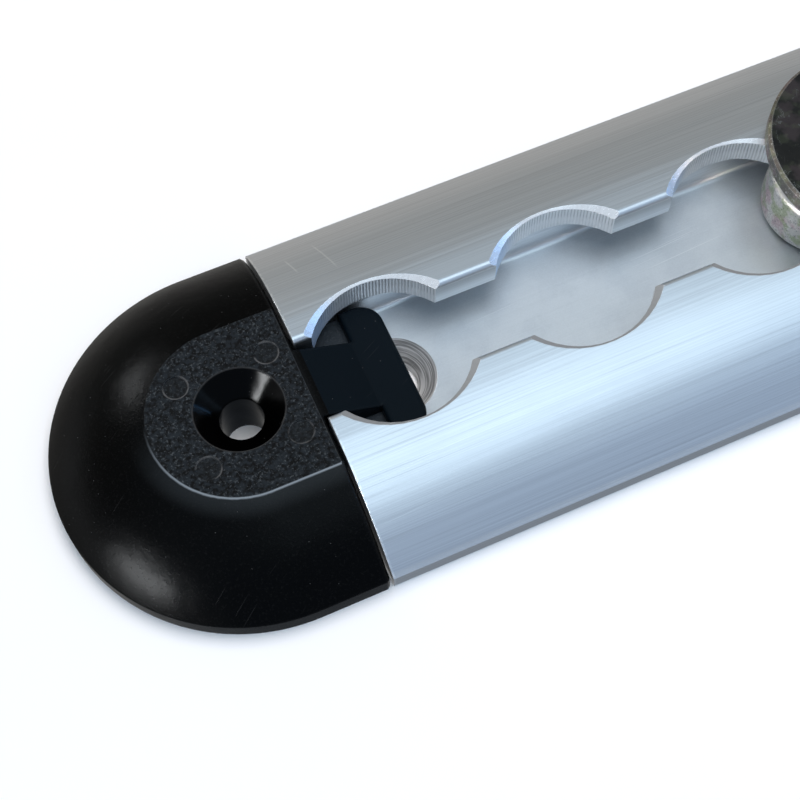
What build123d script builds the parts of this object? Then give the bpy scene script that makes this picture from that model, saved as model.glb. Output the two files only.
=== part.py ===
from build123d import *
import math
import os

# Domed airline rail (logistics track) with moulded end caps and one threaded stud fitting.
# Frame: X along the rail, Y across it, Z up. Origin on the underside, midway along the rail.
# All sizes in millimetres.

# --- rail: track geometry -------------------------------------------------------------------
PITCH = 25.4                # standard spacing of the scallops, one inch
SCALLOP_COUNT = 12
END_MARGIN = 10.8           # first scallop centre to the sawn end
RAIL_LENGTH = (SCALLOP_COUNT - 1) * PITCH + 2 * END_MARGIN
RAIL_END = RAIL_LENGTH / 2
SCALLOP_RADIUS = 10.1       # milled through both lips
SCALLOP_CHAMFER_WIDTH = 1.35
SCALLOP_CHAMFER_DEPTH = 0.9
SLOT_HALF = 5.5             # half the width of the slot between the lips
SLOT_MOUTH_ROUND = 0.8
LIP_CORNER_ROUND = 0.3

# --- rail: cross-section --------------------------------------------------------------------
RAIL_HALF_WIDTH = 25.0
RAIL_HEIGHT = 11.5
CROWN_RADIUS = 80.0         # gentle arc across the middle of the top
CROWN_HALF_WIDTH = 9.0
SHOULDER_RADIUS = 25.0      # tighter arc down to the short vertical sides
CHANNEL_HALF_WIDTH = 10.2
CHANNEL_FLOOR = 3.0
LIP_UNDERSIDE = 7.1
CHANNEL_CORNER_ROUND = 0.9
BOTTOM_EDGE_ROUND = 0.4

# --- rail: countersunk screw holes in the channel floor -------------------------------------
FLOOR_HOLE_SCALLOPS = (0, 4, 7, 11)
FLOOR_HOLE_RADIUS = 3.2
FLOOR_SINK_RADIUS = 5.75

# --- end caps -------------------------------------------------------------------------------
CAP_GAP = 0.4               # between the rail's sawn end and the cap's face
CAP_STRAIGHT = 9.0          # prismatic length before the round nose starts
CAP_PLATEAU = 10.6          # level of the flat around the screw hole
CAP_WALL = 2.6
CAP_FACE_CHAMFER = 0.4
CAP_HOLE_RADIUS = 2.8
CAP_SINK_RADIUS = 5.7
CAP_BOSS_RADIUS = 8.2
CAP_RIB_THICKNESS = 1.8
CAP_RIB_FOOT = 1.0          # ribs stop this far above the underside
CAP_RIB_ANGLES = (90, 135, 180, 225, 270)
EJECTOR_RADIUS = 1.55
EJECTOR_DEPTH = 0.12
EJECTOR_NEAR = 3.6          # pin marks: distances from the rail's end, and half their spread
EJECTOR_FAR = 15.5
EJECTOR_HALF_SPREAD = 5.9

# --- end cap tongue, which slides into the rail's channel -----------------------------------
TONGUE_BOTTOM = CHANNEL_FLOOR + 0.3
TONGUE_HALF_WIDTH = 9.6
WING_TOP = 5.0
HEAD_START = 7.2
HEAD_END = 12.3
HEAD_TOP = 6.7
HEAD_CORNER_ROUND = 3.0
HEAD_EDGE_ROUND = 0.6
NECK_HALF_WIDTH = 4.9
NECK_TOP = 10.4             # where the sloping neck leaves the cap

# --- stud fitting ---------------------------------------------------------------------------
STUD_X = (2.5 - (SCALLOP_COUNT - 1) / 2) * PITCH    # locked between the third and fourth scallop
FOOT_RADIUS = 8.4
FOOT_BOTTOM = CHANNEL_FLOOR + 0.3
FOOT_TOP = 6.9
FOOT_TOP_ROUND = 0.4
FOOT_BOTTOM_ROUND = 0.9
STEM_RADIUS = 4.9           # half the width of everything that stands in the slot
STEM_TOP = 11.0
STEM_TOP_ROUND = 1.0
CRANK_BOTTOM = 7.4          # the bar that carries the shank lies between the lips
SHANK_OFFSET = PITCH / 4    # the shank stands this far along the track from the foot
THREAD_RADIUS = 4.0         # M8
THREAD_PITCH = 1.25
THREAD_DEPTH = 0.65
SHANK_TOP = 40.0
SHANK_CHAMFER = 0.8
RUNNING_CLEARANCE = 0.06    # radial, between a female thread and the shank

# --- clamp disc and lock nut on the shank ---------------------------------------------------
DISC_RADIUS = 15.0
DISC_BOTTOM = RAIL_HEIGHT + 0.3
DISC_THICKNESS = 2.6
DISC_RIM_CHAMFER = 0.4
DISC_FOOT_ROUND = 0.5
NUT_ACROSS_FLATS = 13.0
NUT_HEIGHT = 6.5
NUT_GAP = 4.0               # above the clamp disc, backed off so that the disc can lift
NUT_CORNER_CHAMFER = 0.5

CUT_MARGIN = 1.0            # how far cutting bodies run past the faces that they open


def shoulder_centre():
    """Centre (y, z) of the shoulder arc, tangent to the crown arc at CROWN_HALF_WIDTH."""
    tilt = math.asin(CROWN_HALF_WIDTH / CROWN_RADIUS)
    join_z = RAIL_HEIGHT - CROWN_RADIUS * (1 - math.cos(tilt))
    centre_y = CROWN_HALF_WIDTH - SHOULDER_RADIUS * math.sin(tilt)
    centre_z = join_z - SHOULDER_RADIUS * math.cos(tilt)
    return centre_y, centre_z


def dome_height(y):
    """Height of the domed top at the distance y from the centre line."""
    if abs(y) <= CROWN_HALF_WIDTH:
        return RAIL_HEIGHT - CROWN_RADIUS + math.sqrt(CROWN_RADIUS ** 2 - y ** 2)
    centre_y, centre_z = shoulder_centre()
    return centre_z + math.sqrt(SHOULDER_RADIUS ** 2 - (abs(y) - centre_y) ** 2)


def dome_point(y, inset):
    """Point (y, z) of the dome moved inwards along its normal by inset."""
    if abs(y) <= CROWN_HALF_WIDTH:
        centre_y, centre_z, radius = 0.0, RAIL_HEIGHT - CROWN_RADIUS, CROWN_RADIUS
    else:
        centre_y, centre_z = shoulder_centre()
        radius = SHOULDER_RADIUS
    shrink = (radius - inset) / radius
    offset_y = (abs(y) - centre_y) * shrink
    offset_z = (dome_height(y) - centre_z) * shrink
    return math.copysign(centre_y + offset_y, y), centre_z + offset_z


def half_outline(inset=0.0, bottom=0.0):
    """Closed right half of the domed section as (line and arc edges), from the axis outwards."""
    centre_y, centre_z = shoulder_centre()
    side = RAIL_HALF_WIDTH - inset
    side_top = centre_z + math.sqrt((SHOULDER_RADIUS - inset) ** 2 - (side - centre_y) ** 2)
    join = dome_point(CROWN_HALF_WIDTH, inset)
    crest = (0.0, RAIL_HEIGHT - inset)
    crown_mid = dome_point(CROWN_HALF_WIDTH / 2, inset)
    shoulder_mid = dome_point((CROWN_HALF_WIDTH + side) / 2, inset)
    return [
        Line((0.0, bottom), (side, bottom)),
        Line((side, bottom), (side, side_top)),
        ThreePointArc((side, side_top), shoulder_mid, join),
        ThreePointArc(join, crown_mid, crest),
        Line(crest, (0.0, bottom)),
    ]


def half_face(inset=0.0, bottom=0.0):
    """Right half of the section as a face in the sketch plane (x = across, y = up)."""
    return make_face(Curve() + half_outline(inset, bottom))


def full_face(inset=0.0, bottom=0.0):
    """The whole domed section, both halves."""
    half = half_face(inset, bottom)
    return half + mirror(half, about=Plane.YZ)


def prism_along_x(face, start, end):
    """Extrude a section sketched as (across, up) from start to end along X."""
    section_plane = Plane(origin=(start, 0, 0), x_dir=(0, 1, 0), z_dir=(1, 0, 0))
    return extrude(section_plane * face, amount=end - start)


def scallop_x(index):
    """X of a scallop's centre, counted from the left end."""
    return (index - (SCALLOP_COUNT - 1) / 2) * PITCH


def vertical_cylinder(x, radius, bottom, top, y=0.0):
    """Upright cylinder from bottom to top."""
    return Pos(x, y, (bottom + top) / 2) * Cylinder(radius, top - bottom)


def vertical_cone(x, bottom_radius, top_radius, bottom, top):
    """Upright cone or countersink from bottom to top."""
    return Pos(x, 0, (bottom + top) / 2) * Cone(bottom_radius, top_radius, top - bottom)


def rail_section():
    """Domed section with the T-shaped channel open at the top."""
    outer = full_face()
    channel_height = LIP_UNDERSIDE - CHANNEL_FLOOR
    channel = Rectangle(2 * CHANNEL_HALF_WIDTH, channel_height)
    channel = fillet(channel.vertices(), CHANNEL_CORNER_ROUND)
    slot_height = RAIL_HEIGHT + CUT_MARGIN - LIP_UNDERSIDE + CHANNEL_CORNER_ROUND
    slot = Rectangle(2 * SLOT_HALF, slot_height)
    section = outer - Pos(0, CHANNEL_FLOOR + channel_height / 2) * channel
    section -= Pos(0, RAIL_HEIGHT + CUT_MARGIN - slot_height / 2) * slot
    section = section.faces()[0]
    slot_corners = [v for v in section.vertices() if abs(abs(v.X) - SLOT_HALF) < 0.01]
    mouth = [v for v in slot_corners if v.Y > LIP_UNDERSIDE + 1]
    section = section.fillet_2d(SLOT_MOUTH_ROUND, mouth)
    lips = [v for v in section.vertices()
            if abs(abs(v.X) - SLOT_HALF) < 0.01 and abs(v.Y - LIP_UNDERSIDE) < 0.01]
    section = section.fillet_2d(LIP_CORNER_ROUND, lips)
    feet = [v for v in section.vertices() if abs(v.Y) < 0.01]
    return section.fillet_2d(BOTTOM_EDGE_ROUND, feet)


def scallop_cutter(index):
    """Round opening through the lips, with its chamfer at the top."""
    x = scallop_x(index)
    mid_channel = (CHANNEL_FLOOR + LIP_UNDERSIDE) / 2
    top = RAIL_HEIGHT + CUT_MARGIN
    slope = SCALLOP_CHAMFER_WIDTH / SCALLOP_CHAMFER_DEPTH
    chamfer_bottom = RAIL_HEIGHT - SCALLOP_CHAMFER_DEPTH
    wide = SCALLOP_RADIUS + slope * (top - chamfer_bottom)
    wall = vertical_cylinder(x, SCALLOP_RADIUS, mid_channel, top)
    return wall + vertical_cone(x, SCALLOP_RADIUS, wide, chamfer_bottom, top)


def countersunk_hole(x, hole_radius, sink_radius, bottom, mouth):
    """Through hole with a 90 degree countersink that ends at the level mouth."""
    sink_depth = sink_radius - hole_radius
    sink_top = mouth + CUT_MARGIN
    hole = vertical_cylinder(x, hole_radius, bottom - CUT_MARGIN, sink_top)
    sink = vertical_cone(x, hole_radius, sink_radius + CUT_MARGIN, mouth - sink_depth, sink_top)
    return hole + sink


def build_rail():
    rail = prism_along_x(rail_section(), -RAIL_END, RAIL_END)
    cutters = [scallop_cutter(index) for index in range(SCALLOP_COUNT)]
    for index in FLOOR_HOLE_SCALLOPS:
        hole_x = scallop_x(index)
        # The sink's cutter ends just above the floor, below the lips, which stay whole.
        hole = countersunk_hole(hole_x, FLOOR_HOLE_RADIUS, FLOOR_SINK_RADIUS, 0, CHANNEL_FLOOR)
        cutters.append(hole)
    return rail - cutters


def cap_shell(inset, face_x, bottom, top):
    """Domed nose: a prism from face_x to the nose centre, then half a turn of the section."""
    nose_x = -(CAP_GAP + CAP_STRAIGHT)
    prism = prism_along_x(full_face(inset, bottom), nose_x, face_x)
    upright = Plane(origin=(nose_x, 0, 0), x_dir=(0, 1, 0), z_dir=(1, 0, 0))
    turned = revolve(upright * half_face(inset, bottom), Axis((nose_x, 0, 0), (0, 0, 1)), 180)
    size = 4 * RAIL_HALF_WIDTH
    below_top = Pos(nose_x, 0, top - size / 2) * Box(size, size, size)
    return (prism + turned) & below_top


def cap_rib(angle, nose_x):
    """Upright web under the dome, from the screw boss out to the side wall."""
    reach = RAIL_HALF_WIDTH - CAP_WALL / 2
    web = Box(reach, CAP_RIB_THICKNESS, RAIL_HEIGHT, align=(Align.MIN, Align.CENTER, Align.MIN))
    return Pos(nose_x, 0, CAP_RIB_FOOT) * Rot(0, 0, angle) * web


def cap_tongue():
    """Stepped tongue: low wings, a raised head across the channel and a sloping neck."""
    root = -(CAP_GAP + CAP_WALL)
    wing_length = HEAD_START - root
    wings = Pos(root + wing_length / 2, 0, (TONGUE_BOTTOM + WING_TOP) / 2) * Box(
        wing_length, 2 * TONGUE_HALF_WIDTH, WING_TOP - TONGUE_BOTTOM)
    head_length = HEAD_END - HEAD_START
    head = Pos(HEAD_START + head_length / 2, 0, (TONGUE_BOTTOM + HEAD_TOP) / 2) * Box(
        head_length, 2 * TONGUE_HALF_WIDTH, HEAD_TOP - TONGUE_BOTTOM)
    far_corners = head.edges().filter_by(Axis.Z).group_by(Axis.X)[-1]
    head = fillet(far_corners, HEAD_CORNER_ROUND)
    head = fillet(head.edges().group_by(Axis.Z)[-1], HEAD_EDGE_ROUND)
    slope = Polyline(
        (root, TONGUE_BOTTOM), (HEAD_START + head_length / 2, TONGUE_BOTTOM),
        (HEAD_START + head_length / 2, HEAD_TOP), (HEAD_START, HEAD_TOP),
        (-CAP_GAP, NECK_TOP), (root, NECK_TOP), close=True)
    neck = extrude(Plane.XZ * make_face(slope), amount=NECK_HALF_WIDTH, both=True)
    return wings + head + neck


def build_end_cap():
    """Left cap, drawn with the rail's sawn end at X = 0 and the nose towards -X."""
    nose_x = -(CAP_GAP + CAP_STRAIGHT)
    face_x = -CAP_GAP
    outer = cap_shell(0.0, face_x, 0.0, CAP_PLATEAU)
    face_edges = outer.edges().filter_by_position(Axis.X, face_x - 0.01, face_x + 0.01)
    rim = [edge for edge in face_edges if edge.center().Z > 0.01]
    outer = chamfer(rim, CAP_FACE_CHAMFER)
    hollow = cap_shell(CAP_WALL, face_x - CAP_WALL, -CUT_MARGIN, CAP_PLATEAU - CAP_WALL)
    inner = vertical_cylinder(nose_x, CAP_BOSS_RADIUS, 0, CAP_PLATEAU - CAP_WALL / 2)
    for angle in CAP_RIB_ANGLES:
        inner += cap_rib(angle, nose_x)
    cap = (outer - hollow) + (inner & outer)
    cap += cap_tongue()
    cap -= countersunk_hole(nose_x, CAP_HOLE_RADIUS, CAP_SINK_RADIUS, 0, CAP_PLATEAU)
    for distance in (EJECTOR_NEAR, EJECTOR_FAR):
        for side in (-1, 1):
            cap -= vertical_cylinder(
                -distance, EJECTOR_RADIUS, CAP_PLATEAU - EJECTOR_DEPTH, CAP_PLATEAU + CUT_MARGIN,
                y=side * EJECTOR_HALF_SPREAD)
    return cap


def shank_outline():
    """Right half of the threaded shank: symmetrical ridges at the thread's pitch."""
    root_radius = THREAD_RADIUS - THREAD_DEPTH
    crest_flat = THREAD_PITCH / 8
    flank = (THREAD_PITCH - 2 * crest_flat) / 2
    points = [(0, STEM_TOP), (THREAD_RADIUS, STEM_TOP)]
    level = STEM_TOP + crest_flat
    while level + THREAD_PITCH < SHANK_TOP - SHANK_CHAMFER:
        points.append((THREAD_RADIUS, level))
        points.append((root_radius, level + flank))
        points.append((root_radius, level + flank + crest_flat))
        points.append((THREAD_RADIUS, level + THREAD_PITCH - crest_flat))
        level += THREAD_PITCH
    points.append((THREAD_RADIUS, SHANK_TOP - SHANK_CHAMFER))
    points.append((THREAD_RADIUS - SHANK_CHAMFER, SHANK_TOP))
    points.append((0, SHANK_TOP))
    return make_face(Polyline(*points, close=True))


def stem():
    """Key that rises from the foot into the slot: as long as the foot, as wide as the slot."""
    blank = vertical_cylinder(0, FOOT_RADIUS, FOOT_TOP - FOOT_TOP_ROUND, STEM_TOP)
    rims = blank.edges().filter_by(GeomType.CIRCLE).sort_by(Axis.Z)
    blank = fillet(rims[-1], STEM_TOP_ROUND)
    slab = Pos(0, 0, STEM_TOP / 2) * Box(2 * FOOT_RADIUS, 2 * STEM_RADIUS, STEM_TOP)
    return blank & slab


def crank_bar():
    """Round-ended bar in the slot, from the stem to the foot of the shank."""
    height = STEM_TOP - CRANK_BOTTOM
    middle = (CRANK_BOTTOM + STEM_TOP) / 2
    bar = Pos(SHANK_OFFSET / 2, 0, middle) * Box(SHANK_OFFSET, 2 * STEM_RADIUS, height)
    return bar + vertical_cylinder(SHANK_OFFSET, STEM_RADIUS, CRANK_BOTTOM, STEM_TOP)


def build_track_stud():
    """Cranked stud: round foot in the channel, key in the slot, shank off to one side."""
    foot = vertical_cylinder(0, FOOT_RADIUS, FOOT_BOTTOM, FOOT_TOP)
    foot = fillet(foot.edges().filter_by(GeomType.CIRCLE).sort_by(Axis.Z)[0], FOOT_BOTTOM_ROUND)
    foot = fillet(foot.edges().filter_by(GeomType.CIRCLE).sort_by(Axis.Z)[-1], FOOT_TOP_ROUND)
    shank = Pos(SHANK_OFFSET, 0, 0) * revolve(Plane.XZ * shank_outline(), Axis.Z)
    return foot + stem() + crank_bar() + shank


def build_clamp_disc():
    """Round disc that runs down the shank onto the rail, over the foot and the next scallop."""
    top = DISC_BOTTOM + DISC_THICKNESS
    disc = vertical_cylinder(0, DISC_RADIUS, DISC_BOTTOM, top)
    circles = disc.edges().filter_by(GeomType.CIRCLE).sort_by(Axis.Z)
    disc = chamfer(circles[-1], DISC_RIM_CHAMFER)
    circles = disc.edges().filter_by(GeomType.CIRCLE).sort_by(Axis.Z)
    disc = fillet(circles[0], DISC_FOOT_ROUND)
    bore_radius = THREAD_RADIUS + RUNNING_CLEARANCE
    return disc - vertical_cylinder(0, bore_radius, DISC_BOTTOM - CUT_MARGIN, top + CUT_MARGIN)


def build_lock_nut():
    """Plain hexagon nut, with the corners turned off at both faces."""
    bottom = DISC_BOTTOM + DISC_THICKNESS + NUT_GAP
    top = bottom + NUT_HEIGHT
    corner_radius = NUT_ACROSS_FLATS / 2 / math.cos(math.radians(30))
    hexagon = Rot(0, 0, 30) * RegularPolygon(corner_radius, 6)
    nut = Pos(0, 0, bottom) * extrude(hexagon, amount=NUT_HEIGHT)
    blank = vertical_cylinder(0, corner_radius, bottom, top)
    nut &= chamfer(blank.edges().filter_by(GeomType.CIRCLE), NUT_CORNER_CHAMFER)
    bore_radius = THREAD_RADIUS + RUNNING_CLEARANCE
    return nut - vertical_cylinder(0, bore_radius, bottom - CUT_MARGIN, top + CUT_MARGIN)


end_cap = build_end_cap()
nodes = {
    "rail": build_rail(),
    "end_cap_left": Pos(-RAIL_END, 0, 0) * end_cap,
    "end_cap_right": Pos(RAIL_END, 0, 0) * Rot(0, 0, 180) * end_cap,
    "track_stud": Pos(STUD_X, 0, 0) * build_track_stud(),
    "clamp_disc": Pos(STUD_X + SHANK_OFFSET, 0, 0) * build_clamp_disc(),
    "lock_nut": Pos(STUD_X + SHANK_OFFSET, 0, 0) * build_lock_nut(),
}

os.makedirs("parts", exist_ok=True)
for name, shape in nodes.items():
    export_step(shape, f"parts/{name}.step")
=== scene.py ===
import math
from types import SimpleNamespace

import bmesh
import bpy
from mathutils import Euler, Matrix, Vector


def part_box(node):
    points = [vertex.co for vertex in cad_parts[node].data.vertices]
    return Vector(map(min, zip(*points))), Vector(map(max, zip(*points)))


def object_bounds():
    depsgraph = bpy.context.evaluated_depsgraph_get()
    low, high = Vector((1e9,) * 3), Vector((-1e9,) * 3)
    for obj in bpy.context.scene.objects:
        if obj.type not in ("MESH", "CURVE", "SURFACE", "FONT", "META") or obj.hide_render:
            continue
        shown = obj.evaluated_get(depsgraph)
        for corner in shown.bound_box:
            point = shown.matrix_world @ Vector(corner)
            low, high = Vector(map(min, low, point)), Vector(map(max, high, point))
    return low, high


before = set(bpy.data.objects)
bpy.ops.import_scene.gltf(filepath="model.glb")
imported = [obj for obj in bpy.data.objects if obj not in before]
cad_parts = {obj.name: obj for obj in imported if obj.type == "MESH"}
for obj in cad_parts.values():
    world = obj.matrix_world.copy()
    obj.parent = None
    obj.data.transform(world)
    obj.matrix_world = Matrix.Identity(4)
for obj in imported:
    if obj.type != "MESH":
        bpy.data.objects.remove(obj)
cad_low, cad_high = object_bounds()

# Looks for a domed airline rail with moulded end caps and a zinc-plated stud fitting.
# Objects are placed in metres. Surface patterns are worked out in millimetres of the part's
# own frame: X along the rail, Y across it, Z up.

MM_PER_METRE = 1000.0
BUMP_UNIT = 0.001           # a bump height of 1 is one millimetre

# --- places on the part, in millimetres ------------------------------------------------------
PITCH = 25.4                # spacing of the scallops
END_MARGIN = 10.8           # sawn end to the first scallop's centre
SCALLOP_RADIUS = 10.1
LIP_UNDERSIDE = 7.1
CHANNEL_FLOOR = 3.0
SCALLOP_MARK_LOW = 8.4      # cutter marks are plainest above this height
SLOT_HALF_WIDTH = 5.5
SLOT_WALL_TOP = 10.4
FLOOR_SINK_RADIUS = 5.75
CAP_PLATEAU = 10.6
CAP_HOLE_PAST_END = 9.4     # rail end to the screw hole in a cap
CAP_SINK_RADIUS = 5.7
EJECTOR_RADIUS = 1.55
EJECTOR_PAST_END = (3.6, 15.5)
EJECTOR_HALF_SPREAD = 5.9
WING_TOP = 5.0

RAIL_LOW, RAIL_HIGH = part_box("rail")
RAIL_END = RAIL_HIGH.x * MM_PER_METRE
FIRST_SCALLOP = RAIL_LOW.x * MM_PER_METRE + END_MARGIN
DISC_LOW, DISC_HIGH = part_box("clamp_disc")
DISC_CENTRE = (DISC_LOW + DISC_HIGH) / 2 * MM_PER_METRE

# Two long scratches on the far side of the dome near the first scallop: (start, end).
LONG_SCRATCHES = (
    ((RAIL_LOW.x * MM_PER_METRE + 8.0, 21.0), (RAIL_LOW.x * MM_PER_METRE + 9.5, 13.5)),
    ((RAIL_LOW.x * MM_PER_METRE + 3.8, 19.5), (RAIL_LOW.x * MM_PER_METRE + 4.6, 15.5)),
)

LONG_SCRATCH_HALF_WIDTH = 0.16
CUTTER_MARK_SPACING = 0.42

# How far each material's edges are rounded.
ALUMINIUM_EDGE = 0.12
PLASTIC_EDGE = 0.5
ZINC_EDGE = 0.2

# --- camera ----------------------------------------------------------------------------------
CAMERA_PLACE = (-0.17017, -0.07796, 0.16589)
CAMERA_TURN = (26.235, 0.912, -23.752)      # degrees
CAMERA_LENS = 64.147
CAMERA_SENSOR = 36.0
CAMERA_CLIP = 0.005

# --- room, in metres --------------------------------------------------------------------------
FLOOR_RADIUS = 4.0
FLOOR_SEGMENTS = 96
LAMP_DISTANCE = 0.9


class Field:
    """A number that varies over a surface: one node's output, with plain arithmetic."""

    def __init__(self, graph, socket):
        self.graph = graph
        self.socket = socket

    def __add__(self, other):
        return self.graph.math("ADD", self, other)

    def __sub__(self, other):
        return self.graph.math("SUBTRACT", self, other)

    def __rsub__(self, other):
        return self.graph.math("SUBTRACT", other, self)

    def __mul__(self, other):
        return self.graph.math("MULTIPLY", self, other)

    def __abs__(self):
        return self.graph.math("ABSOLUTE", self)

    __radd__ = __add__
    __rmul__ = __mul__


class Graph:
    """One material's nodes, with the fields that its patterns start from."""

    def __init__(self, name):
        self.material = bpy.data.materials.new(name)
        self.material.use_nodes = True
        self.tree = self.material.node_tree
        self.shader = self.tree.nodes["Principled BSDF"]
        place = self.add("ShaderNodeTexCoord").outputs["Object"]
        scale = self.add("ShaderNodeVectorMath", operation="SCALE")
        self.feed(scale.inputs[0], place)
        scale.inputs["Scale"].default_value = MM_PER_METRE
        self.x, self.y, self.z = self.split(scale.outputs[0])
        facing = self.add("ShaderNodeNewGeometry").outputs["Normal"]
        self.nx, self.ny, self.nz = self.split(facing)

    def add(self, kind, **settings):
        node = self.tree.nodes.new(kind)
        for key, value in settings.items():
            setattr(node, key, value)
        return node

    def feed(self, socket, value):
        """Set a socket, or link a field or another socket to it."""
        if isinstance(value, Field):
            value = value.socket
        if isinstance(value, bpy.types.NodeSocket):
            self.tree.links.new(value, socket)
        else:
            socket.default_value = value

    def split(self, socket):
        node = self.add("ShaderNodeSeparateXYZ")
        self.feed(node.inputs[0], socket)
        return tuple(Field(self, output) for output in node.outputs)

    def vector(self, x, y, z):
        node = self.add("ShaderNodeCombineXYZ")
        for socket, value in zip(node.inputs, (x, y, z)):
            self.feed(socket, value)
        return node.outputs[0]

    def math(self, operation, *values):
        node = self.add("ShaderNodeMath", operation=operation)
        for socket, value in zip(node.inputs, values):
            self.feed(socket, value)
        return Field(self, node.outputs[0])

    def ramp(self, field, start, end):
        """Smooth step from 0 where the field is start to 1 where it is end."""
        node = self.add("ShaderNodeMapRange", interpolation_type="SMOOTHSTEP")
        low, high = min(start, end), max(start, end)
        rising = start < end
        for socket, value in zip(node.inputs, (field, low, high, not rising, rising)):
            self.feed(socket, value)
        return Field(self, node.outputs[0])

    def noise(self, x, y, z, detail=2.0, roughness=0.5):
        """Cloudy noise from 0 to 1, one cell per unit of the coordinates given."""
        node = self.add("ShaderNodeTexNoise")
        self.feed(node.inputs["Vector"], self.vector(x, y, z))
        node.inputs["Scale"].default_value = 1.0
        node.inputs["Detail"].default_value = detail
        node.inputs["Roughness"].default_value = roughness
        return Field(self, node.outputs["Fac"])

    def cloud(self, size, seed=0.0, detail=2.0, roughness=0.5):
        """Noise whose cells are size millimetres across in every direction."""
        scale = 1 / size
        return self.noise(
            self.x * scale + seed, self.y * scale, self.z * scale, detail, roughness)

    def specks(self, size, radius, share, seed=0.0):
        """Small dots, 1 inside: one cell in size millimetres, a share of the cells filled."""
        node = self.add("ShaderNodeTexVoronoi")
        scale = 1 / size
        place = self.vector(self.x * scale + seed, self.y * scale, self.z * scale)
        self.feed(node.inputs["Vector"], place)
        node.inputs["Scale"].default_value = 1.0
        chosen = self.split(node.outputs["Color"])[0]
        dot = self.ramp(Field(self, node.outputs["Distance"]), radius / size, 0.5 * radius / size)
        return dot * self.ramp(chosen, 1 - share, 1 - 0.8 * share)

    def streaks(self, degrees, length, width, share, seed=0.0):
        """Thin straight scratches in one direction over the top, 1 on the scratch."""
        turn = math.radians(degrees)
        along = self.x * (math.cos(turn) / length) + self.y * (math.sin(turn) / length)
        across = self.y * (math.cos(turn) / width) - self.x * (math.sin(turn) / width)
        lines = self.noise(along + seed, across, seed, detail=0.0)
        return self.ramp(lines, 1 - share, 1 - 0.8 * share)

    def line(self, start, end, half_width):
        """One straight scratch over the top from start to end, both (x, y)."""
        run = Vector(end) - Vector(start)
        unit = run.normalized()
        from_x = self.x - start[0]
        from_y = self.y - start[1]
        along = from_x * unit.x + from_y * unit.y
        across = abs(from_y * unit.x - from_x * unit.y)
        fade = run.length / 4
        inside = self.ramp(along, 0, fade) * self.ramp(along, run.length, run.length - fade)
        return self.ramp(across, half_width, 0.3 * half_width) * inside

    def mixed(self, factor, first, second):
        """Colour that goes from first to second as the factor goes from 0 to 1."""
        node = self.add("ShaderNodeMix", data_type="RGBA")
        self.feed(node.inputs["Factor"], factor)
        self.feed(node.inputs["A"], first)
        self.feed(node.inputs["B"], second)
        return next(o for o in node.outputs if o.type == "RGBA")

    def edges(self, radius):
        """Rounded-edge normal, and a field that is 1 on the edges that it rounds."""
        bevel = self.add("ShaderNodeBevel", samples=4)
        bevel.inputs["Radius"].default_value = radius / MM_PER_METRE
        geometry = self.add("ShaderNodeNewGeometry")
        likeness = self.add("ShaderNodeVectorMath", operation="DOT_PRODUCT")
        self.feed(likeness.inputs[0], bevel.outputs[0])
        self.feed(likeness.inputs[1], geometry.outputs["Normal"])
        same = Field(self, likeness.outputs["Value"])
        return bevel.outputs[0], self.ramp(same, 0.995, 0.9)

    def finish(self, colour, roughness, height, normal=None):
        """Connect the finished colour, roughness and bump height, and give the material."""
        self.feed(self.shader.inputs["Base Color"], colour)
        self.feed(self.shader.inputs["Roughness"], roughness)
        bump = self.add("ShaderNodeBump")
        bump.inputs["Distance"].default_value = BUMP_UNIT
        self.feed(bump.inputs["Height"], height)
        if normal is not None:
            self.feed(bump.inputs["Normal"], normal)
        self.feed(self.shader.inputs["Normal"], bump.outputs[0])
        return self.material


def grey(level, tint=(1.0, 1.0, 1.0)):
    return (level * tint[0], level * tint[1], level * tint[2], 1.0)


# Tints for grey().
COOL = (0.97, 0.99, 1.02)
WARM = (1.03, 1.0, 0.96)
BLUISH = (0.8, 1.0, 1.2)
SATIN_TINT = (0.93, 1.0, 1.05)

# Whole colours.
SKY_BLUE = (0.42, 0.62, 0.92, 1.0)
# The tongue's two colours are its black with a painted bluish reflection, paler and bluer than the
# cap's flanks.
TONGUE_BLACK_AND_SHEEN = (0.0018, 0.0042, 0.0068, 1.0)
TONGUE_GREY_AND_SHEEN = (0.003, 0.006, 0.009, 1.0)
PASSIVATE_PINK = (0.56, 0.36, 0.40, 1.0)
PASSIVATE_GREEN = (0.40, 0.45, 0.24, 1.0)


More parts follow.
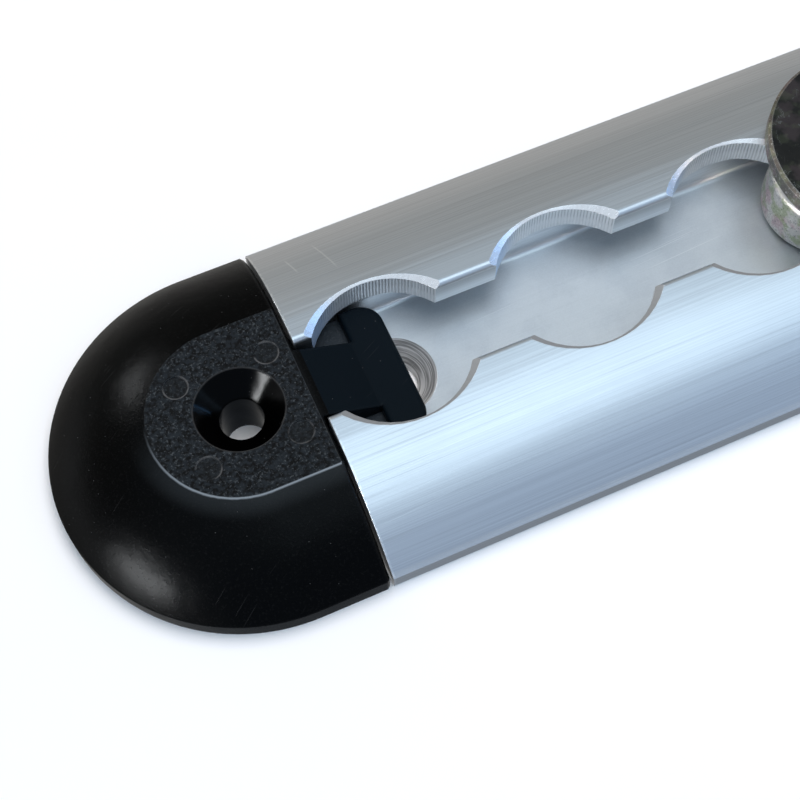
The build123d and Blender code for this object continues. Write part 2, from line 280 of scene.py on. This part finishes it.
def rail_places(g):
    """Where each kind of surface of the rail is: each field is 1 there and 0 elsewhere."""
    from_scallop = g.math("WRAP", g.x - FIRST_SCALLOP, PITCH / 2, -PITCH / 2)
    radius = g.math("SQRT", from_scallop * from_scallop + g.y * g.y)
    inward = g.math("DIVIDE", g.nx * from_scallop + g.ny * g.y, radius) * -1
    above_channel = g.ramp(g.z, LIP_UNDERSIDE - 0.3, LIP_UNDERSIDE)

    near_scallop = g.ramp(radius, SCALLOP_RADIUS + 0.2, SCALLOP_RADIUS + 0.1)
    milled_wall = near_scallop * above_channel * g.ramp(inward, 0.8, 0.95)
    sloped = g.ramp(inward, 0.3, 0.45) * g.ramp(inward, 0.8, 0.7)
    straight_in = g.ramp(inward * inward + g.nz * g.nz, 0.93, 0.97)
    milled_chamfer = sloped * straight_in * above_channel

    sink = g.ramp(radius, FLOOR_SINK_RADIUS + 0.05, FLOOR_SINK_RADIUS - 0.05)
    sink = sink * g.ramp(g.z, CHANNEL_FLOOR - 0.01, CHANNEL_FLOOR - 0.05) * g.ramp(g.nz, -0.5, -0.1)
    channel = g.ramp(g.z, CHANNEL_FLOOR + 0.3, CHANNEL_FLOOR + 0.1) * g.ramp(g.nz, 0.5, 0.9)
    sawn_end = g.ramp(abs(g.nx), 0.9, 0.98) * g.ramp(abs(g.x), RAIL_END - 0.2, RAIL_END - 0.1)
    slot_wall = g.ramp(g.z, SLOT_WALL_TOP + 0.3, SLOT_WALL_TOP - 0.1) * above_channel
    slot_wall = slot_wall * g.ramp(abs(g.ny), 0.9, 0.98) * (1 - milled_wall)
    slot_wall = slot_wall * g.ramp(abs(g.y), SLOT_HALF_WIDTH + 0.5, SLOT_HALF_WIDTH + 0.3)
    return SimpleNamespace(
        from_scallop=from_scallop, radius=radius, angle=g.math("ARCTAN2", g.y, from_scallop),
        milled_wall=milled_wall, milled_chamfer=milled_chamfer,
        cut=g.math("MAXIMUM", milled_wall, milled_chamfer),
        near_chamfer=milled_chamfer * g.ramp(g.y, 0.0, -2.0),
        sink=sink, channel=channel * (1 - sink), sawn_end=sawn_end, slot_wall=slot_wall)


def rail_patterns(g, place):
    """What the rail's surfaces show: die lines, satin, smudges, scratches and tool marks."""
    drag_lines = g.noise(g.x * 0.03, g.y * 3.4, g.z * 3.4, detail=1.0, roughness=0.6)
    rubbing = g.streaks(3, 22.0, 0.14, 0.22, seed=8.0) * 0.6
    for start, end in LONG_SCRATCHES:
        rubbing = g.math("MAXIMUM", rubbing, g.line(start, end, LONG_SCRATCH_HALF_WIDTH))
    mark_wander = g.noise(place.angle * 2.0, place.from_scallop * 0.1, 0.0)
    mark_phase = place.angle * (SCALLOP_RADIUS * 2 * math.pi / CUTTER_MARK_SPACING)
    return SimpleNamespace(
        # Die lines run the whole length; they are drawn out along X.
        fine_lines=g.noise(g.x * 0.012, g.y * 5.0, g.z * 5.0, detail=3.0, roughness=0.7),
        broad_lines=g.noise(g.x * 0.004, g.y * 0.55, g.z * 0.55, detail=2.0),
        short_lines=g.noise(g.x * 0.12, g.y * 7.0, g.z * 7.0, detail=1.0),
        drag=g.ramp(drag_lines, 0.57, 0.72),
        satin=g.cloud(0.22, detail=3.0, roughness=0.7),
        smudge=g.cloud(9.0, seed=4.0, detail=3.0),
        stain=g.ramp(g.cloud(5.0, seed=13.0, detail=3.0), 0.40, 0.62),
        scratch=rubbing * g.ramp(g.nz, 0.4, 0.7),
        # Cutter marks stand upright on the scallop walls and point outwards on the chamfers.
        upright=g.math("SINE", mark_phase + mark_wander * 9),
        chatter=g.noise(place.angle * 38.0, g.z * 0.5, 0.0, detail=2.0),
        rings=g.noise(place.radius * 5.5, place.angle * 0.8, 0.0, detail=2.0),
        saw_marks=g.noise(g.y * 2.2 + g.z * 0.9, g.z * 0.05, 0.0, detail=2.0))


def rail_height(place, pattern):
    """Bump height in millimetres: die lines where nothing is cut, tool marks where it is."""
    height = pattern.fine_lines * 0.006 + pattern.broad_lines * 0.016
    height = height + pattern.short_lines * 0.003 - pattern.drag * 0.002
    height = height * (1 - place.milled_wall) * (1 - place.milled_chamfer)
    height = height * (1 - place.sink) * (1 - place.sawn_end)
    height = height * (1 - place.channel * 0.7) + pattern.satin * place.channel * 0.010
    height = height + (pattern.upright * 0.016 + pattern.chatter * 0.02) * place.milled_wall
    height = height + pattern.chatter * place.milled_chamfer * 0.016
    height = height + pattern.rings * place.sink * 0.05
    height = height + pattern.saw_marks * place.sawn_end * 0.03
    return height - pattern.scratch * 0.003


def rail_colour(g, place, pattern, edge):
    """Colour of the metal, with some shading drawn in that stays put under any light."""
    lines = g.ramp(pattern.fine_lines, 0.3, 0.7)
    colour = g.mixed(lines, grey(0.70, COOL), grey(0.84, COOL))
    colour = g.mixed(pattern.drag * 0.32, colour, grey(0.50, COOL))
    colour = g.mixed(pattern.smudge * 0.3, colour, grey(0.66))
    floor_grey = g.mixed(pattern.satin, grey(0.50, SATIN_TINT), grey(0.66, SATIN_TINT))
    floor_grey = g.mixed(pattern.stain * 0.22, floor_grey, grey(0.80, (0.96, 1.0, 1.0)))
    colour = g.mixed(place.channel * 0.85, colour, floor_grey)
    colour = g.mixed(place.cut, colour, g.mixed(pattern.chatter, grey(0.72), grey(0.96)))
    upper_wall = g.ramp(g.z, SCALLOP_MARK_LOW, SCALLOP_MARK_LOW + 1.0)
    marks = g.ramp(pattern.upright, 0.0, 0.8) * (0.15 + upper_wall * 0.45)
    colour = g.mixed(place.milled_wall * marks, colour, grey(0.34))

    # Drawn-in shading: sky blue on the -X, +Y part of each cut, and grey on the chamfers on
    # the -Y side and low on the slot's walls.
    sky_part = g.ramp(place.from_scallop, -3.0, -7.5) * g.ramp(g.y, 0.0, 3.0)
    colour = g.mixed(place.cut * sky_part * 0.7, colour, SKY_BLUE)
    colour = g.mixed(place.near_chamfer * 0.8, colour, grey(0.22))
    slot_shade = g.ramp(g.z, LIP_UNDERSIDE + 0.6, SLOT_WALL_TOP)
    colour = g.mixed(place.slot_wall * slot_shade * 0.55, colour, grey(0.22))

    turned = g.mixed(g.ramp(pattern.rings, 0.35, 0.65), grey(0.34), grey(0.92))
    colour = g.mixed(place.sink, colour, turned)
    colour = g.mixed(pattern.scratch * 0.6, colour, grey(0.98))
    burr = g.ramp(abs(g.x), RAIL_END - 0.35, RAIL_END - 0.15)
    burr = burr * g.ramp(g.cloud(0.5, seed=31.0), 0.42, 0.58)
    return g.mixed(g.math("MAXIMUM", edge * 0.5, burr * 0.8), colour, grey(0.97))


def extruded_aluminium():
    """Mill-finish rail: die lines along X, milled scallops, turned countersinks, sawn ends."""
    g = Graph("mill_finish_aluminium")
    normal, edge = g.edges(ALUMINIUM_EDGE)
    place = rail_places(g)
    pattern = rail_patterns(g, place)

    rough = 0.25 + pattern.fine_lines * 0.14 + pattern.smudge * 0.06 + pattern.drag * 0.05
    rough = rough + place.channel * (pattern.satin * 0.10 - 0.02)
    rough = rough - place.milled_chamfer * 0.10 + place.sawn_end * 0.06
    rough = rough - edge * 0.06 + place.near_chamfer * 0.35

    # Freshly cut and satin faces scatter some light, so they mirror less.
    scatter = g.math("MAXIMUM", place.cut, place.sink) * 0.5 + place.channel * 0.35
    g.feed(g.shader.inputs["Metallic"], 1 - scatter)
    colour = rail_colour(g, place, pattern, edge)
    return g.finish(colour, rough, rail_height(place, pattern), normal)


def ejector_marks(g, past_end):
    """Round marks of four ejector pins: their witness lines, and the faces inside them."""
    witness = 0.0
    pin_face = 0.0
    for distance in EJECTOR_PAST_END:
        offset = past_end - distance
        across = abs(g.y) - EJECTOR_HALF_SPREAD
        from_pin = g.math("SQRT", offset * offset + across * across)
        witness = g.ramp(abs(from_pin - EJECTOR_RADIUS), 0.16, 0.04) + witness
        pin_face = g.ramp(from_pin, EJECTOR_RADIUS + 0.1, EJECTOR_RADIUS) + pin_face
    return witness, pin_face


def cap_places(g):
    """Where each kind of surface of a cap is: each field is 1 there and 0 elsewhere."""
    past_end = abs(g.x) - RAIL_END
    from_hole = past_end - CAP_HOLE_PAST_END
    radius = g.math("SQRT", from_hole * from_hole + g.y * g.y)
    outside = g.ramp(past_end, -0.5, -0.3)
    seat = g.ramp(radius, CAP_SINK_RADIUS + 0.03, CAP_SINK_RADIUS - 0.03)
    flat = g.ramp(g.z, CAP_PLATEAU - 0.05, CAP_PLATEAU - 0.01) * outside
    flat = flat * (1 - seat * g.ramp(g.z, CAP_PLATEAU - 0.01, CAP_PLATEAU - 0.05))
    witness, pin_face = ejector_marks(g, past_end)
    pin_face = pin_face * g.ramp(g.z, CAP_PLATEAU - 0.5, CAP_PLATEAU - 0.4) * outside
    flat = g.math("MAXIMUM", flat, pin_face)
    wing = g.ramp(g.z, WING_TOP + 0.1, WING_TOP + 0.05) * (1 - outside) * g.ramp(g.nz, 0.7, 0.9)
    beside_flat = g.ramp(g.z, CAP_PLATEAU - 0.02, CAP_PLATEAU - 0.06) * outside * (1 - seat)
    return SimpleNamespace(
        seat=seat, flat=flat, wing=wing, tongue=(1 - outside) * (1 - wing),
        coarse=flat * (1 - pin_face * 0.2) + wing, pin_face=pin_face, witness=witness * flat,
        rim=g.ramp(g.z, CAP_PLATEAU - 0.12, CAP_PLATEAU - 0.06) * beside_flat,
        halo=g.ramp(g.z, CAP_PLATEAU - 0.9, CAP_PLATEAU - 0.1) * beside_flat,
        seat_rim=g.ramp(abs(radius - CAP_SINK_RADIUS), 0.14, 0.04) * outside)


def cap_patterns(g):
    """What the cap's surfaces show: moulded grain, flow, dust and scuffs."""
    grain = g.cloud(0.30, detail=3.0, roughness=0.75)
    return SimpleNamespace(
        grain=grain, sparkle=g.ramp(grain, 0.54, 0.68),
        pores=g.cloud(0.55, seed=7.0, detail=2.0),
        flow=g.cloud(14.0, seed=2.0, detail=2.0),
        waves=g.cloud(5.0, seed=21.0, detail=2.0),
        dust=g.specks(0.8, 0.065, 0.30, seed=1.0) * g.ramp(g.nz, 0.1, 0.5),
        scuffs=g.streaks(28, 6.0, 0.12, 0.20, seed=5.0) * g.ramp(g.nz, 0.3, 0.7),
        broken=g.ramp(g.cloud(1.6, seed=17.0), 0.38, 0.62))


def cap_colour(g, place, pattern, edge):
    """Near-black, paler where the grain is coarse, with some shading drawn in."""
    colour = g.mixed(pattern.flow, grey(0.0002, COOL), grey(0.0005, COOL))
    # Painted reflection: the tongue is drawn paler and bluer than the flanks, over its own black and
    # flow.
    tongue_black_and_sheen = g.mixed(pattern.flow, TONGUE_BLACK_AND_SHEEN, TONGUE_GREY_AND_SHEEN)
    colour = g.mixed(place.tongue, colour, tongue_black_and_sheen)
    patchy = g.ramp(pattern.pores, 0.35, 0.65)
    grained = g.mixed(patchy, grey(0.004, COOL), grey(0.017, BLUISH))
    grained = g.mixed(pattern.sparkle, grained, grey(0.062, (0.88, 1.0, 1.08)))
    colour = g.mixed(place.coarse, colour, grained)
    # Painted light: the wing is drawn paler and bluish, as if lit, on top of its grain.
    colour = g.mixed(place.wing * 0.6, colour, grey(0.050, BLUISH))
    smooth = (1 - place.seat) * (1 - place.tongue) * (1 - place.coarse)
    colour = g.mixed(pattern.sparkle * smooth * 0.10, colour, grey(0.030))

    # Drawn-in shading: the flat's rim shows pale on its -Y side, with a soft halo outside it.
    pale_side = g.ramp(g.ny, 0.06, -0.16)
    colour = g.mixed(place.halo * pale_side * 0.16, colour, grey(0.09, (0.85, 1.0, 1.1)))
    colour = g.mixed(place.rim * pale_side * 0.8, colour, grey(0.30, (0.88, 1.0, 1.1)))

    colour = g.mixed(place.seat_rim * 0.4, colour, grey(0.07))
    colour = g.mixed(place.witness * pattern.broken * 0.8, colour, grey(0.13))
    colour = g.mixed(place.pin_face * 0.15, colour, grey(0.010))
    colour = g.mixed(edge * 0.12, colour, grey(0.03, COOL))
    colour = g.mixed(pattern.scuffs * 0.2, colour, grey(0.05))
    return g.mixed(pattern.dust * 0.5, colour, grey(0.16))


def moulded_plastic():
    """Black end cap: spark-eroded grain on its flat, smoother flanks, glossy screw seat."""
    g = Graph("black_moulded_plastic")
    normal, edge = g.edges(PLASTIC_EDGE)
    place = cap_places(g)
    pattern = cap_patterns(g)

    height = pattern.grain * (place.coarse * 0.075 + 0.022) + pattern.pores * place.coarse * 0.03
    height = height * (1 - place.seat * 0.85) * (1 - place.tongue * 0.6)
    height = height + place.witness * 0.03 - pattern.scuffs * 0.004
    height = height + pattern.waves * (1 - place.flat) * 0.10

    rough = 0.17 + place.coarse * 0.16 + pattern.grain * 0.08 + pattern.flow * 0.05
    rough = rough - place.seat * 0.08 - edge * 0.04
    g.shader.inputs["Specular IOR Level"].default_value = 0.07
    return g.finish(cap_colour(g, place, pattern, edge), rough, height, normal)


def zinc_plate(name, painted_dark_top, base, pale, tint_share):
    """Passivated zinc: drifting pink and green tints, pits, fine turning and handling marks."""
    g = Graph(name)
    normal, edge = g.edges(ZINC_EDGE)
    from_axis_x = g.x - DISC_CENTRE.x
    radius = g.math("SQRT", from_axis_x * from_axis_x + g.y * g.y)
    drift = g.cloud(3.2, seed=11.0, detail=3.0)
    second_drift = g.cloud(2.1, seed=23.0, detail=3.0)
    fine = g.cloud(0.35, seed=3.0, detail=4.0, roughness=0.7)
    pits = g.specks(0.5, 0.09, 0.35, seed=9.0)
    turned = g.noise(radius * 4.0, g.z * 4.0, 0.0, detail=2.0)
    top = g.ramp(g.nz, 0.6, 0.9)
    scratch = g.streaks(62, 7.0, 0.16, 0.20, seed=2.0)
    scratch = g.math("MAXIMUM", scratch, g.streaks(-15, 8.0, 0.18, 0.20, seed=6.0))
    wandering = abs(g.cloud(4.0, seed=41.0, detail=4.0, roughness=0.6) - 0.5)
    crackle = g.ramp(wandering, 0.007, 0.001) * g.ramp(second_drift, 0.50, 0.58) * 0.6
    scratch = g.math("MAXIMUM", scratch * 0.5, crackle) * top

    colour = g.mixed(drift, base, pale)
    # Painted shade: faces that point up are drawn darker than the sides, standing in for the dark
    # room they reflect.
    colour = g.mixed(top, colour, g.mixed(drift * 0.25, painted_dark_top, base))
    shown = tint_share * (1 - top * 0.8)
    colour = g.mixed(g.ramp(drift, 0.48, 0.62) * shown, colour, PASSIVATE_PINK)
    colour = g.mixed(g.ramp(second_drift, 0.50, 0.62) * shown, colour, PASSIVATE_GREEN)
    colour = g.mixed(pits * 0.6, colour, grey(0.06))
    sparkle = g.ramp(fine, 0.56, 0.66) * (1 - top)
    colour = g.mixed(sparkle * 0.6, colour, grey(0.92, WARM))
    colour = g.mixed(g.ramp(fine, 0.44, 0.36) * (1 - top) * 0.6, colour, grey(0.12, WARM))
    colour = g.mixed(scratch * 0.5, colour, grey(0.40))
    colour = g.mixed(edge * 0.5, colour, grey(0.70, WARM))
    rough = 0.26 + fine * 0.20 + drift * 0.08 - scratch * 0.06 - edge * 0.05
    height = fine * (0.010 + (1 - top) * 0.030) + turned * 0.006 - pits * 0.012 - scratch * 0.006
    g.shader.inputs["Metallic"].default_value = 1.0
    return g.finish(colour, rough, height, normal)


def dress(node, material):
    """Give a CAD node its finished material in every slot."""
    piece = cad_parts[node]
    for material_slot in piece.material_slots:
        material_slot.material = material


def pale_floor():
    """Round pale floor, level with the underside of the rail."""
    mesh = bpy.data.meshes.new("floor")
    shape = bmesh.new()
    bmesh.ops.create_circle(shape, cap_ends=True, radius=FLOOR_RADIUS, segments=FLOOR_SEGMENTS)
    shape.to_mesh(mesh)
    shape.free()
    floor = bpy.data.objects.new("floor", mesh)
    floor.location.z = cad_low.z
    bpy.context.scene.collection.objects.link(floor)
    g = Graph("pale_floor")
    mottle = g.cloud(40.0, detail=2.0)
    colour = g.mixed(mottle, grey(0.93), grey(0.96))
    mesh.materials.append(g.finish(colour, 0.9 + mottle * 0.05, mottle * 0.01))
    # Metal mirrors the plain room and not the floor.
    floor.visible_glossy = False


def softbox(name, direction, distance, size, brightness, tint):
    """Area light of a given surface brightness, set out from the origin and aimed at it."""
    width, height = size
    light = bpy.data.lights.new(name, "AREA")
    light.shape = "RECTANGLE"
    light.size = width
    light.size_y = height
    light.energy = brightness * math.pi * width * height
    light.color = tint
    lamp = bpy.data.objects.new(name, light)
    lamp.location = Vector(direction).normalized() * distance
    lamp.rotation_euler = lamp.location.to_track_quat("Z", "Y").to_euler()
    bpy.context.scene.collection.objects.link(lamp)
    return lamp


def glint(name, direction, size, brightness, tint):
    """A softbox that shows only in what shines, and casts no light on the floor."""
    lamp = softbox(name, direction, LAMP_DISTANCE, size, brightness, tint)
    lamp.visible_diffuse = False


def room():
    """Even room light: blue on the -Y side, neutral on +Y, bright low down at -X, cool above."""
    world = bpy.data.worlds.new("room")
    bpy.context.scene.world = world
    world.use_nodes = True
    tree = world.node_tree
    background = tree.nodes["Background"]

    def node(kind, **settings):
        made = tree.nodes.new(kind)
        for key, value in settings.items():
            setattr(made, key, value)
        return made

    coordinates = node("ShaderNodeTexCoord")
    direction = node("ShaderNodeSeparateXYZ")
    tree.links.new(coordinates.outputs["Generated"], direction.inputs[0])

    def blend(colour, towards, output, start, end):
        fade = node("ShaderNodeMapRange", interpolation_type="SMOOTHSTEP")
        tree.links.new(direction.outputs[output], fade.inputs[0])
        fade.inputs[1].default_value = start
        fade.inputs[2].default_value = end
        mix = node("ShaderNodeMix", data_type="RGBA")
        tree.links.new(fade.outputs[0], mix.inputs["Factor"])
        for socket, value in (("A", colour), ("B", towards)):
            if isinstance(value, bpy.types.NodeSocket):
                tree.links.new(value, mix.inputs[socket])
            else:
                mix.inputs[socket].default_value = value
        return next(o for o in mix.outputs if o.type == "RGBA")

    sides = blend(grey(0.44, (0.78, 1.0, 1.32)), grey(0.31, (0.99, 1.02, 1.0)), "Y", -0.6, 0.6)
    window_side = blend(grey(1.1, (0.97, 1.0, 1.03)), sides, "X", -0.85, -0.45)
    low_sides = blend(window_side, sides, "Z", 0.10, 0.35)
    ceiling = blend(low_sides, grey(0.66, (0.80, 1.0, 1.18)), "Z", 0.6, 0.95)
    ground = blend(grey(0.24, (0.85, 1.0, 1.2)), grey(0.42, (1.02, 1.0, 0.96)), "Y", -0.6, 0.6)
    whole = blend(ground, ceiling, "Z", -0.15, 0.05)
    tree.links.new(whole, background.inputs["Color"])
    background.inputs["Strength"].default_value = 1.0


def camera():
    data = bpy.data.cameras.new("camera")
    data.sensor_width = CAMERA_SENSOR
    data.lens = CAMERA_LENS
    data.clip_start = CAMERA_CLIP
    body = bpy.data.objects.new("camera", data)
    body.location = CAMERA_PLACE
    body.rotation_euler = Euler([math.radians(a) for a in CAMERA_TURN])
    bpy.context.scene.collection.objects.link(body)
    bpy.context.scene.camera = body


dress("rail", extruded_aluminium())
plastic = moulded_plastic()
dress("end_cap_left", plastic)
dress("end_cap_right", plastic)
bright_zinc = zinc_plate(
    "zinc_plate", grey(0.50), grey(0.56, (1.08, 1.0, 0.93)), grey(0.80, (1.06, 1.0, 0.94)), 0.7)
dark_zinc = zinc_plate(
    "dark_zinc_plate", (0.022, 0.022, 0.022, 1), (0.19, 0.165, 0.14, 1), (0.26, 0.23, 0.195, 1), 0.35)
dress("track_stud", bright_zinc)
dress("lock_nut", bright_zinc)
dress("clamp_disc", dark_zinc)

pale_floor()
room()
softbox("overhead", (0.06, -0.20, 0.97), 0.8, (0.56, 0.62), 0.84, (0.78, 0.98, 1.12))
softbox("right_sky", (0.75, -0.35, 0.55), LAMP_DISTANCE, (0.40, 0.40), 1.5, (0.45, 0.70, 1.0))
glint("left_strip", (-0.925, -0.24, 0.27), (0.30, 0.04), 110.0, (0.95, 0.98, 1.0))
glint("far_spot", (-0.50, 0.71, 0.49), (0.09, 0.09), 36.0, (0.95, 0.98, 1.0))
glint("blue_window", (0.97, -0.04, 0.20), (0.16, 0.16), 14.0, (0.18, 0.50, 1.0))
# Whitens the floor and nothing that shines.
floor_wash = softbox("floor_wash", (0.1, 0.2, 1.0), 1.2, (1.0, 1.0), 3.3, (1.0, 0.88, 0.82))
floor_wash.visible_glossy = False
camera()
bpy.context.scene.view_settings.view_transform = "Standard"
